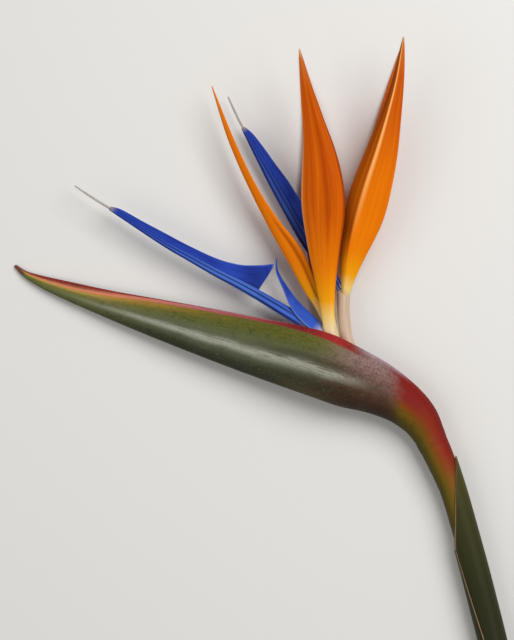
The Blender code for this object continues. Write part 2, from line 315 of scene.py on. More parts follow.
class Finish:
    """A material and the nodes that feed its Principled shader."""

    def __init__(self, name, **constants):
        self.material = bpy.data.materials.new(name)
        self.material.use_nodes = True
        self.tree = self.material.node_tree
        self.shader = self.tree.nodes["Principled BSDF"]
        for socket, value in constants.items():
            self.shader.inputs[socket.replace("_", " ")].default_value = value

    def node(self, kind, settings=None, **inputs):
        """Add a node, set it up, then feed its sockets values or links."""
        node = self.tree.nodes.new(kind)
        for name, value in (settings or {}).items():
            if name == "stops":
                self.set_stops(node.color_ramp.elements, value)
            else:
                setattr(node, name, value)
        for name, value in inputs.items():
            socket = node.inputs[int(name)] if name.isdigit() else node.inputs[name]
            self.feed(socket, value)
        return node

    @staticmethod
    def set_stops(elements, stops):
        elements[0].position, elements[0].color = stops[0]
        elements[1].position, elements[1].color = stops[-1]
        for position, colour in stops[1:-1]:
            elements.new(position).color = colour

    def feed(self, socket, value):
        if isinstance(value, Value):
            value = value.socket
        if isinstance(value, bpy.types.NodeSocket):
            self.tree.links.new(value, socket)
        else:
            socket.default_value = value

    def split(self, vector):
        node = self.node("ShaderNodeSeparateXYZ", Vector=vector)
        return [Value(self, output) for output in node.outputs]

    def grain(self):
        """Where the surface lies along and across its own tissue."""
        node = self.node("ShaderNodeAttribute", {"attribute_name": "grain"})
        return self.split(node.outputs["Vector"])

    def place(self):
        """Where the surface lies on the object, in millimetres."""
        node = self.node("ShaderNodeTexCoord")
        return [axis * (1 / MM) for axis in self.split(node.outputs["Object"])]

    def speckle(self, x, y, z=0.0, detail=2.0, rough=0.5):
        """Smooth noise from 0 to 1 at a place, one grain a unit."""
        at = self.node("ShaderNodeCombineXYZ", X=x, Y=y, Z=z)
        node = self.node("ShaderNodeTexNoise", {"noise_dimensions": "3D"}, Vector=at.outputs[0],
                         Scale=1.0, Detail=detail, Roughness=rough)
        return Value(self, node.outputs["Fac"])

    def mix(self, amount, under, over):
        """One colour laid over another by an amount."""
        node = self.node("ShaderNodeMix", {"data_type": "RGBA"})
        self.feed(node.inputs["Factor"], amount)
        for socket, colour in (("A", under), ("B", over)):
            self.feed(next(i for i in node.inputs if i.name == socket and i.type == "RGBA"), colour)
        return next(output for output in node.outputs if output.type == "RGBA")

    def ramp(self, value, *stops):
        """A colour read from (position, colour) stops."""
        return self.node("ShaderNodeValToRGB", {"stops": stops}, Fac=value).outputs["Color"]

    def finish(self, colour, roughness, bump=None, height=0.1):
        self.feed(self.shader.inputs["Base Color"], colour)
        self.feed(self.shader.inputs["Roughness"], roughness)
        if bump is not None:
            node = self.node("ShaderNodeBump", Height=bump, Strength=1.0, Distance=height * MM)
            self.feed(self.shader.inputs["Normal"], node.outputs["Normal"])
        return self.material


# ---------------------------------------------------------------- finishes

CREAM = tint(236, 224, 196)
STALK_PINK = tint(206, 180, 156)
ARROW_LINES = (-0.7, -0.34, 0.1)             # where dark lines run along an arrow, across it


def sepal_orange(name, base_length, keel=0.1, shade=0.0, shade_streaks=False, crease=0.0, painted_light=0.0,
                 foot=CREAM):
    """Orange sepal tissue: fine lengthwise veins, a pale keel and margins, pale at the foot.

    The pale keel and margins are partly painted highlight. shade warms the blade and lays
    painted shade on its left slope, shade_streaks lays painted shade as dark lengthwise streaks
    and a dark right margin, crease is where painted shade in a fold lies beside a painted
    highlight on the crown, and painted_light brightens a sepal that stands on edge.
    """
    finish = Finish(name, Specular_IOR_Level=0.05)
    along, across, side = finish.grain()
    veins = finish.speckle(along * 2.5, across * 14.0, side)
    cloud = finish.speckle(along * 5.0, across * 1.6, side + 7.0)
    streak = finish.speckle(along * 1.6, across * 4.0, side + 3.0)
    colour = finish.ramp(along + (cloud - 0.5) * 0.06,
                         (0.0, foot), (base_length * 0.26, tint(242, 208, 122)),
                         (base_length * 0.5, tint(245, 162, 12)), (base_length, tint(234, 124, 4)),
                         (base_length + 0.17, tint(212, 98, 2)), (0.55, tint(203, 88, 2)),
                         (0.85, tint(190, 80, 2)), (0.97, tint(196, 106, 42)),
                         (1.0, tint(216, 184, 144)))
    body = along.rise(0.12, 0.4)
    colour = finish.mix(streak.rise(0.5, 0.28) * body * 0.35, colour, tint(236, 128, 14))
    colour = finish.mix(streak.rise(0.48, 0.72) * body * 0.5, colour, tint(188, 70, 2))
    colour = finish.mix(veins.rise(0.42, 0.75) * body * 0.42, colour, tint(150, 54, 0))
    # painted shade: dark lengthwise streaks in the grooves and a dark red-brown right margin
    if shade_streaks:
        for middle, width, depth in ((0.12, 0.14, 0.5), (0.82, 0.12, 0.3)):
            line = (across + (cloud - 0.5) * 0.1 - middle).size().rise(width, 0.0)
            line = line * along.rise(0.22, 0.42) * along.rise(0.95, 0.7)
            colour = finish.mix(line * depth, colour, tint(158, 50, 0))
        margin = (-across).rise(0.72, 0.98) * along.rise(0.1, 0.3)
        colour = finish.mix(margin * 0.75, colour, tint(128, 44, 14))
    # painted light: the whole blade brightened, for a sepal that stands on edge
    if painted_light:
        colour = finish.mix(body * painted_light, colour, tint(248, 132, 4))
    if shade:
        warm = along.rise(0.12, 0.3) * along.rise(0.8, 0.42)
        colour = finish.mix(warm * 0.5, colour, tint(250, 134, 4))
        # painted shade on the left slope, deeper toward the foot
        slope = across.rise(0.03, 0.22) * along.rise(0.06, 0.3)
        slope = slope * (1 + along.rise(0.42, 0.24) * 0.6)
        colour = finish.mix(slope * (0.55 + streak * 0.9) * shade, colour, tint(112, 44, 0))
    if crease:
        # painted shade in the fold along the crease
        line = (across - crease).size().rise(0.1, 0.0)
        line = line * along.rise(0.08, 0.14) * along.rise(0.52, 0.38)
        colour = finish.mix(line * 0.65, colour, tint(136, 48, 0))
        # painted highlight along the crown
        pale = across.size().rise(0.16, 0.0) * along.rise(0.5, 0.22) * along.rise(0.0, 0.08)
        colour = finish.mix(pale * 0.7, colour, tint(255, 220, 140))
    # a pale keel line, partly painted highlight
    pale_keel_and_highlight = (across - 0.01).size().rise(0.17, 0.0) * along.rise(0.2, 0.56) * keel
    colour = finish.mix(pale_keel_and_highlight, colour, tint(255, 182, 104))
    # pale margins, partly painted highlight
    pale_rim_and_highlight = across.rise(0.92, 0.98) * along.rise(0.12, 0.3) * 0.7
    colour = finish.mix(pale_rim_and_highlight, colour, tint(230, 164, 112))
    return finish.finish(colour, 0.42 + cloud * 0.12, veins, 0.06)


def petal_blue(name, pale_from, pale_to, lines=(), tip=0.0, pale_lit_rod=0.0):
    """Deep blue petal tissue, pale at its foot, with paler margins and fine dark veins.

    lines are the dark lengthwise lines of an arrow, tip greys its free end and pale_lit_rod
    lightens the gutter round the style, partly its own paler blue and partly painted light.
    """
    finish = Finish(name, Specular_IOR_Level=0.15)
    along, across, lift = finish.grain()
    veins = finish.speckle(along * 4.0, across * 16.0, 2.0)
    cloud = finish.speckle(along * 6.0, across * 2.0, 5.0)
    colour = finish.mix(cloud.rise(0.3, 0.7), tint(24, 50, 148), tint(38, 72, 180))
    # the gutter lighter, partly its own paler blue and partly painted light
    pale = lift * along.rise(0.05, 0.6) * (1 - along.rise(0.66, 0.8) * 0.35) * pale_lit_rod
    colour = finish.mix(pale, colour, tint(86, 130, 218))
    colour = finish.mix(veins.rise(0.45, 0.75) * 0.6, colour, tint(12, 28, 100))
    if not lines:
        colour = finish.mix(along.rise(0.75, 0.2) * 0.55, colour, tint(46, 94, 198))
    else:
        # painted shade on the wing where it meets the gutter
        corner = across.rise(0.8, 0.3) * across.rise(0.08, 0.14) * along.rise(0.56, 0.66)
        colour = finish.mix(corner * (1 - lift) * 0.65, colour, tint(8, 24, 92))
    for line in lines:
        dark = (across - line).size().rise(0.09, 0.02) * along.rise(1.0, 0.85)
        colour = finish.mix(dark * 0.85, colour, tint(10, 26, 96))
    colour = finish.mix(across.size().rise(0.93, 0.99) * 0.6, colour, tint(112, 142, 214))
    colour = finish.mix(along.rise(pale_from, pale_to), colour, tint(206, 204, 214))
    if tip:
        colour = finish.mix(along.rise(tip, 0.0), colour, tint(140, 132, 140))
    return finish.finish(colour, 0.5 + cloud * 0.1, veins, 0.05)


def neck_tone(finish, side):
    """The neck under the spathe: side is 0 on its inner side and 1 on its outer side."""
    # the darker stops at both ends are partly painted shade along the neck's sides
    return finish.ramp(side, (0.0, tint(60, 58, 15)), (0.12, tint(84, 72, 10)),
                       (0.3, tint(112, 84, 12)), (0.5, tint(134, 62, 14)),
                       (0.7, tint(138, 38, 12)), (0.9, tint(124, 20, 10)),
                       (1.0, tint(106, 18, 12)))


def spathe_green():
    """Waxy grey green bract: crimson lips and elbow, a mauve shoulder, fine lengthwise veins."""
    finish = Finish("spathe_green", Specular_IOR_Level=0.13)
    along, around, _ = finish.grain()
    place = finish.place()
    height = 1 - around.size()                   # 1 at the keel, 0 at the lips
    veins = finish.speckle(along * 36.0, around * 64.0, 0.0, 3.0)
    fine, mottle, cloud = [
        finish.speckle(*[axis * scale for axis in place], detail, rough)
        for scale, detail, rough in ((1.1, 3.0, 0.7), (0.35, 3.0, 0.6), (0.06, 2.0, 0.5))]
    level = height + (cloud - 0.5) * 0.06 + (veins - 0.5) * 0.05

    # the side, from lips to keel: grey green, yellower by the beak and mauve at the shoulder
    # all three ramps darken toward the keel, partly as painted shade on the side turned from the
    # light
    colour = finish.ramp(level, (0.0, tint(112, 104, 40)), (0.3, tint(90, 92, 32)),
                         (0.42, tint(84, 90, 50)), (0.5, tint(82, 86, 58)),
                         (0.66, tint(76, 80, 56)), (0.75, tint(60, 64, 42)),
                         (0.86, tint(47, 51, 33)), (1.0, tint(42, 44, 29)))
    mauve = finish.ramp(level, (0.0, tint(136, 100, 100)), (0.26, tint(140, 104, 98)),
                        (0.4, tint(122, 90, 80)), (0.5, tint(104, 76, 64)), (0.6, tint(84, 58, 44)),
                        (0.72, tint(64, 44, 30)), (1.0, tint(48, 33, 20)))
    young = finish.ramp(level, (0.0, tint(190, 140, 70)), (0.3, tint(172, 144, 70)),
                        (0.45, tint(128, 120, 48)), (0.65, tint(112, 116, 60)),
                        (1.0, tint(84, 88, 52)))
    colour = finish.mix(along.rise(0.35, 0.14), colour, young)
    mauve = finish.mix(mottle.rise(0.42, 0.7) * 0.4, mauve, tint(64, 42, 34))
    colour = finish.mix((along + level * 0.06).rise(0.54, 0.68), colour, mauve)
    brown = level.rise(0.7, 0.84) * along.rise(0.46, 0.54) * along.rise(0.66, 0.56)
    colour = finish.mix(brown * 0.5, colour, tint(96, 82, 52))
    dark = mottle.rise(0.52, 0.72) * along.rise(0.7, 0.5)
    colour = finish.mix(dark * 0.4, colour, tint(44, 46, 24))

    # wax: a faint broad bloom, a bright streak of bloom and painted highlight between
    # darker bands, and dust on the shoulder
    grains = (fine * 0.6 + veins * 0.4).rise(0.38, 0.66)
    wax = level + along * 0.2 + along.rise(0.46, 0.34) * 0.02
    faint = wax.rise(0.46, 0.58) * wax.rise(0.84, 0.72)
    faint = faint * along.rise(0.12, 0.3) * along.rise(0.62, 0.48)
    colour = finish.mix(faint * grains * 0.32, colour, tint(146, 146, 128))
    # the bright streak: waxy bloom, partly a painted highlight
    streak = wax.rise(0.57, 0.655) * wax.rise(0.745, 0.66)
    streak = streak * along.rise(0.16, 0.34) * along.rise(0.7, 0.58)
    streak = streak * (0.24 + veins.rise(0.25, 0.7) * 0.46 + grains * 0.28)
    colour = finish.mix(streak, colour, tint(190, 191, 174))
    beside = (wax.rise(0.5, 0.57) * wax.rise(0.65, 0.6)
              + wax.rise(0.74, 0.785) * wax.rise(0.87, 0.81))
    beside = beside * along.rise(0.4, 0.5) * along.rise(0.68, 0.58)
    colour = finish.mix(beside * 0.55, colour, tint(58, 52, 38))
    dust = wax.rise(0.14, 0.26) * wax.rise(0.58, 0.36)
    dust = dust * along.rise(0.56, 0.64) * along.rise(0.75, 0.66)
    colour = finish.mix(dust * (0.1 + grains * 0.45), colour, tint(172, 148, 148))

    # the elbow: crimson on its outer side, and the neck's own colours further down
    side = (height * pi).math("COSINE") * 0.5 + 0.5
    elbow = (along - height * 0.1 + (mottle - 0.5) * 0.03).rise(0.658, 0.71)
    crimson = finish.mix(side.rise(0.36, 0.7) * along.rise(0.86, 0.76), neck_tone(finish, side),
                         tint(126, 14, 5))
    colour = finish.mix(elbow, colour, crimson)

    # the lips: amber by the beak, then pink and crimson, a painted rim highlight and slit shadow
    edge = height + (fine - 0.5) * 0.03
    amber = edge.rise(0.36, 0.16) * along.rise(0.44, 0.2)
    colour = finish.mix(amber, colour, tint(190, 134, 52))
    honey = edge.rise(0.46, 0.26) * along.rise(0.28, 0.18)
    colour = finish.mix(honey * 0.6, colour, tint(212, 170, 88))
    near_tone = finish.ramp(along, (0.0, tint(130, 60, 50)), (0.1, tint(214, 140, 92)),
                            (0.26, tint(214, 130, 98)), (0.36, tint(190, 98, 104)),
                            (0.46, tint(150, 50, 56)), (0.51, tint(124, 30, 36)),
                            (0.57, tint(160, 36, 36)), (0.65, tint(118, 24, 24)))
    far_tone = finish.ramp(edge, (0.0, tint(176, 78, 68)), (0.03, tint(140, 44, 36)),
                           (0.09, tint(96, 24, 22)), (0.2, tint(62, 10, 8)))
    broad = along.rise(0.26, 0.4) * 0.06 + along.rise(0.4, 0.6) * 0.09
    lips = (edge - broad).rise(0.1, 0.05) * along.rise(0.67, 0.6)
    colour = finish.mix(lips, colour, near_tone)
    pink = edge.rise(0.07, 0.02) * along.rise(0.3, 0.42) * along.rise(0.7, 0.6)
    colour = finish.mix(pink * 0.6, colour, tint(206, 140, 144))
    # painted shadow of the slit: dark red along the near lip's inner edge
    inner = edge.rise(0.035, 0.015) * along.rise(0.31, 0.2)
    colour = finish.mix(inner * 0.85, colour, tint(112, 34, 32))
    far_lip = edge.rise(0.5, 0.4) * around.rise(0.0, 0.1) * along.rise(0.5, 0.36)
    colour = finish.mix(far_lip, colour, far_tone)
    # painted highlight: a pale lilac rim along the upper edge of the shoulder
    pale_rim_and_highlight = edge.rise(0.2, 0.06) * along.rise(0.6, 0.66) * along.rise(0.75, 0.7)
    colour = finish.mix(pale_rim_and_highlight * (0.42 + grains * 0.5), colour, tint(192, 170, 186))

    # wrinkles on the shoulder, veins, dark and pale specks, and the dry tip of the beak
    wrinkles = finish.speckle(along * 240.0, around * 30.0, 3.0, 3.0, 0.6).rise(0.42, 0.68)
    wrinkles = wrinkles * along.rise(0.56, 0.64) * along.rise(0.76, 0.68) * height.rise(0.62, 0.45)
    colour = finish.mix(wrinkles * 0.55, colour, tint(62, 42, 36))
    colour = finish.mix(veins.rise(0.45, 0.75) * 0.35, colour, tint(32, 32, 18))
    colour = finish.mix(fine.rise(0.55, 0.75) * 0.35, colour, tint(30, 30, 18))
    pale = fine.rise(0.45, 0.25) * along.rise(0.72, 0.66)
    colour = finish.mix(pale * 0.22, colour, tint(168, 166, 150))
    colour = finish.mix(along.rise(0.07, 0.03), colour, tint(116, 66, 56))
    return finish.finish(colour, 0.46 + fine * 0.2, veins + fine * 0.5, 0.12)


def stem_green():
    """Stem tissue: olive inside the bend, orange and crimson outside it near the spathe."""
    finish = Finish("stem_green", Specular_IOR_Level=0.13)
    along, across, deep = finish.grain()
    streaks = finish.speckle(along * 6.0, across * 9.0, deep * 9.0, 3.0)
    side = across * 0.5 + 0.5
    low = finish.ramp(side, (0.0, tint(66, 58, 16)), (0.3, tint(104, 86, 16)),
                      (0.6, tint(124, 84, 20)), (1.0, tint(116, 62, 24)))
    colour = finish.mix(along.rise(0.06, 0.2), neck_tone(finish, side), low)
    colour = finish.mix(along.rise(0.3, 0.5), colour, tint(64, 66, 28))
    colour = finish.mix(streaks.rise(0.5, 0.85) * 0.25, colour, tint(40, 38, 18))
    cut = along.rise(0.9985, 0.9995)
    colour = finish.mix(cut, colour, tint(196, 196, 140))
    return finish.finish(colour, 0.5 + streaks * 0.12, streaks, 0.05)


def sheath_green():
    """A dark olive bract round the stem, with dry pale margins."""
    finish = Finish("sheath_green", Specular_IOR_Level=0.15)
    along, around, lapped = finish.grain()
    place = finish.place()
    past_lap = sum((axis - at) * facing for axis, at, facing in zip(place, LAP_POINT, LAP_FACING))
    margin = (place[0].rise(SHEATH_FRONT + 0.4, SHEATH_FRONT + 0.15) * (1 - lapped)
              + past_lap.rise(-0.45, -0.05) * lapped)
    streaks = finish.speckle(along * 5.0, around * 18.0, 0.0, 3.0)
    fine = finish.speckle(along * 60.0, around * 30.0, 4.0)
    colour = finish.ramp(along, (0.0, tint(82, 72, 24)), (0.25, tint(55, 54, 18)),
                         (0.5, tint(40, 42, 15)), (1.0, tint(31, 33, 13)))
    colour = finish.mix(streaks.rise(0.4, 0.8) * 0.35, colour, tint(58, 57, 22))
    colour = finish.mix(margin * 0.9, colour, tint(150, 120, 88))
    return finish.finish(colour, 0.45 + fine * 0.12, streaks, 0.05)


def stalk_tissue(name, tone, shade):
    finish = Finish(name, Specular_IOR_Level=0.4, Subsurface_Weight=0.1, Subsurface_Scale=0.002)
    along, across, deep = finish.grain()
    streaks = finish.speckle(along * 4.0, across * 6.0, deep * 6.0, 3.0)
    colour = finish.mix(streaks.rise(0.35, 0.75) * 0.5, tone, shade)
    return finish.finish(colour, 0.4 + streaks * 0.1, streaks, 0.04)


def style_grey():
    finish = Finish("style_grey", Specular_IOR_Level=0.3)
    along, across, deep = finish.grain()
    grains = finish.speckle(along * 160.0, across * 3.0, deep * 3.0, 2.0, 0.7)
    colour = finish.mix(grains.rise(0.35, 0.7), tint(146, 138, 132), tint(208, 200, 192))
    return finish.finish(colour, 0.7, grains, 0.08)


# ---------------------------------------------------------------- stem, sheath and stalks

STEM = Path((69.75, -17.6, 6.85), (73.0, -23.6, 6.9), (77.6, -34.2, 6.9), (81.7, -45.5, 6.85),
            (87.7, -66.6, 6.85), (93.6, -89.0, 6.85), (101.0, -119.0, 6.85), (110.0, -159.6, 6.85))
NODE_RADIUS = 6.8            # where the stem leaves the spathe
SHEATHED_RADIUS = 5.6
SHEATH_TIP = 0.08            # the share of the stem above the sheath's tip
SHEATH_GAP = 0.35
SHEATH_ROWS = 70
SHEATH_RADIUS = 6.5          # about its middle, to scale its grain by

stem_radius = flow((0.0, NODE_RADIUS - 0.1), (0.045, NODE_RADIUS - 0.02),
                   (SHEATH_TIP, NODE_RADIUS - 0.3), (SHEATH_TIP + 0.12, SHEATHED_RADIUS),
                   (0.5, SHEATHED_RADIUS), (1.0, SHEATHED_RADIUS))


def rod(name, path, radius, rows, sides=24):
    """A round stalk along a path, closed at both ends and a little rounded at its far one."""
    piece = ring(name, sides, filled=True)
    sweep([(path.length * i / rows, radius(i / rows), radius(i / rows)) for i in range(rows + 1)],
          bpy.ops.mesh.extrude_region_move)
    bpy.ops.mesh.inset(thickness=radius(1.0) * 0.15 * MM)
    bpy.ops.mesh.select_all(action="SELECT")
    bpy.ops.mesh.normals_make_consistent(inside=False)
    object_mode()

    def read(place):
        share = place.x / path.length
        return share, place.y / radius(share), place.z / radius(share)
    keep_grain(piece, read)
    soften(piece, 1)
    bend_along(piece, path)
    return piece


def build_stem():
    stem = rod("stem", STEM, stem_radius, rows=40, sides=40)
    finish_piece(stem, stem_green(), "stem")


def sheath_tube(start, lap):
    """A tube round the stem, from a start share of its length down, and lap further out."""
    tube = ring("stem_sheath", 72)
    bpy.ops.transform.translate(value=(start * STEM.length * MM, 0, 0))
    stations = []
    for i in range(SHEATH_ROWS + 1):
        share = start + (1 - start) * i / SHEATH_ROWS
        radius = stem_radius(share) + SHEATH_GAP + lap
        stations.append((STEM.length * share, radius, radius))
    sweep(stations)
    object_mode()
    lapped = 1.0 if lap else 0.0
    keep_grain(tube, lambda place: (place.x / STEM.length, place.y / SHEATH_RADIUS, lapped))
    bend_along(tube, STEM)
    return tube


def build_sheath():
    """A tube round the stem, cut open by a plane, with its other margin lapped over it below."""
    under = sheath_tube(0.03, 0.0)
    over = sheath_tube(0.36, 0.5)
    cut_away(under, (SHEATH_FRONT, 0, 0), (-1, 0, 0))
    # the lapped margin: along the front near the inner edge, and round behind to the outer edge
    cut_away(over, LAP_POINT, LAP_FACING)
    for layer, wall in ((under, 0.5), (over, 0.38)):
        apply(layer, "SOLIDIFY", thickness=wall * MM, offset=1)
    select_only(under)
    over.select_set(True)
    bpy.ops.object.join()
    under.data.shade_smooth()
    finish_piece(under, sheath_green(), "stem_sheath")


# ---------------------------------------------------------------- spathe

# Stations along the spathe: X and Y of the axis, half height, share of that for half width,
# and half the slit between the lips.
SPATHE_STATIONS = (
    (-116.2, 58.8, 0.6, 1.0, 0.25),
    (-111.5, 54.9, 1.4, 0.9, 0.3),
    (-106.0, 52.2, 2.3, 0.8, 0.4),
    (-95.9, 48.4, 3.7, 0.7, 0.7),
    (-74.2, 41.4, 6.1, 0.66, 0.9),
    (-52.6, 35.1, 8.7, 0.64, 1.0),
    (-31.1, 29.0, 11.0, 0.64, 1.1),
    (-9.5, 22.9, 13.0, 0.64, 1.5),
    (6.8, 18.5, 14.4, 0.65, 3.8),
    (21.0, 14.2, 15.0, 0.66, 5.6),
    (33.3, 9.0, 14.2, 0.7, 4.0),
    (46.3, 3.9, 12.2, 0.77, 0.5),
    (57.9, -2.8, 10.1, 0.83, 0.0),
    (65.5, -9.8, 8.75, 0.88, 0.0),
    (69.9, -17.0, 7.35, 0.96, 0.0),
    (71.3, -20.2, 7.02, 0.99, 0.0),
    (72.6, -22.86, 6.84, 1.0, 0.0),
)

SPATHE_WALL = 1.0

# The lips differ in height: the near one sits low and the far one high. lip_lift is the share of
# that offset along the spathe.
NEAR_LIP_DROP = 3.2
FAR_LIP_RISE = 0.4
lip_lift = flow((0, 0.3), (0.1, 1.0), (0.2, 1.0), (0.3, 0.45), (0.45, 0.15), (0.65, 0.0))


def spathe_surface():
    """The bract's outer skin: v runs from beak to neck, and abs(u) from the lips to the keel."""
    path = Path(*[(x, y, 0) for x, y, *rest in SPATHE_STATIONS])
    size = Path(*[(h, h * share, slit) for x, y, h, share, slit in SPATHE_STATIONS])
    last = len(path.trace) - 1

    def surface(v, u):
        spot = v * last
        index = min(int(spot), last - 1)
        part = spot - index
        centre = path.trace[index].lerp(path.trace[index + 1], part)
        along = (path.trace[min(index + 2, last)] - path.trace[max(index - 1, 0)]).normalized()
        height, width, slit = size.trace[index].lerp(size.trace[index + 1], part)
        up = UP.cross(along)
        side = 1 if u < 0 else -1
        turn = pi * abs(u)
        neck = smooth((v - 0.55) / 0.25)

        def bulge(turn):
            hood = (1 + cos(turn)) / 2
            return width * max(sin(turn), 0) ** (1 + hood * (1 - neck)) + slit * hood ** 2
        out = bulge(turn)
        probes = 24
        rest = max(bulge(pi * i / probes) for i in range(probes + 1))
        lift = (FAR_LIP_RISE if side < 0 else -NEAR_LIP_DROP) * lip_lift(v)
        lift = lift * min(height / 4.5, 1) * ((1 + cos(turn)) / 2) ** 3
        return centre + up * (height * cos(turn) + lift) + UP * (rest + side * out)
    return surface


def build_spathe():
    rule = spathe_surface()
    # The grid's u runs from lip to lip over the keel, and is folded here to count from the lips.
    # Its edge points lie a hair past 1, so they change sides: each lip's last row crosses the
    # slit and bridges it.
    spathe = grid("spathe", 84, 56, lambda v, u: rule(v, (1 if u > 0 else -1) * (1 - abs(u))))
    apply(spathe, "SOLIDIFY", thickness=SPATHE_WALL * MM, offset=-1)
    soften(spathe, 1)
    finish_piece(spathe, spathe_green(), "spathe")


# ---------------------------------------------------------------- florets

SEPAL_WALL = 0.6
PETAL_WALL = 0.45


def blade(name, points, width, fold, roll=0.0, left=(1.0, 1.0), right=(1.0, 1.0), keel=0.0,
          wall=SEPAL_WALL):
    """A pointed blade: an arch swept along, its margins folded back, bent along its route.

    left and right scale each half's width and fold; keel sharpens the crown.
    """
    path = Path(*points)
    rows, flattest = 26, 0.02
    piece = arch(name)
    pick(piece, lambda place: abs(place.y) < 0.05)
    bpy.ops.transform.translate(value=(0, 0, keel * MM))
    bpy.ops.mesh.select_all(action="SELECT")
    shares = [i / rows for i in range(rows)] + [0.985, 1.0]
    sweep([(path.length * share, width(share), max(fold(share), flattest)) for share in shares])
    for side, scale in ((1, left), (-1, right)):
        pick(piece, lambda place: place.y * side > 1e-4)
        bpy.ops.transform.resize(value=(1, *scale), center_override=ORIGIN)
    object_mode()

    def read(place):
        share = min(place.x / path.length, 1.0)
        half = width(share) * (left[0] if place.y > 0 else right[0])
        return share, place.y / half, 0.0
    keep_grain(piece, read)
    apply(piece, "SOLIDIFY", thickness=wall * MM, offset=0)
    soften(piece, 2)
    bend_along(piece, path, roll)
    return piece


def arrow_petal(name, points, side, rod_reach, wing, end):
    """Half of an arrow: a ribbed gutter round the style, and a wing that ends in a barb at end."""
    path = Path(*points)
    gutter, wing_rows = 0.1, 0.68            # their shares of the grid, across and along
    middle, lean = 0.4, 0.06
    barb_reach, barb_hollow = 0.012, 0.02
    depth, rib = 0.85, 0.12

    def surface(v, u):
        if v < wing_rows + 0.01:
            share = min(end * v / wing_rows, end)
            tall = wing(share)
            part = max((u - gutter) / (1 - gutter), 0.0)
            share += (barb_reach * part - barb_hollow * sin(pi * part)) * (share / end) ** 12
        else:
            share = end + 0.001 + (0.999 - end) * ((v - wing_rows) / (1 - wing_rows)) ** 2
            tall = 0.0
        place, across, _ = path.frame(share)
        reach = rod_reach(share)
        if u <= gutter:
            angle = pi * (u + 1) / (gutter + 1)
            rise = -reach * cos(angle)
            out = middle + reach * sin(angle) * (depth + rib * cos(6 * angle))
        else:
            step = tall * (u - gutter) / (1 - gutter)
            rise, out = reach + step, middle + step * lean
        return place - across * rise + UP * (side * out)
    piece = grid(name, 75, 32, surface)
    grain = piece.data.attributes["grain"]
    for mark in grain.data:
        v, u, _ = mark.vector
        mark.vector = (v, u, 1.0 if u < gutter else 0.0)
    select_only(piece)
    bpy.ops.object.mode_set(mode="EDIT")
    bpy.ops.mesh.select_all(action="SELECT")
    bpy.ops.mesh.remove_doubles(threshold=0.01 * MM)
    object_mode()
    apply(piece, "SOLIDIFY", thickness=PETAL_WALL * MM, offset=0)
    soften(piece, 1)
    return piece


def build_arrow(floret, points, blue, rod_reach, wing, end):
    """The two petals that close round the style."""
    for which, side in (("near", 1), ("far", -1)):
        name = f"{floret}_arrow_petal_{which}"
        petal = arrow_petal(name, points, side, rod_reach, wing, end)
        finish_piece(petal, blue, name)


def build_style(floret, arrow, tip, radius):
    """The needle that runs down an arrow and shows beyond its end."""
    name = f"{floret}_style"
    style = rod(name, Path(*arrow[::-1], *tip), radius, rows=60, sides=10)
    finish_piece(style, style_grey(), name)


FLORET_Z = 11.0


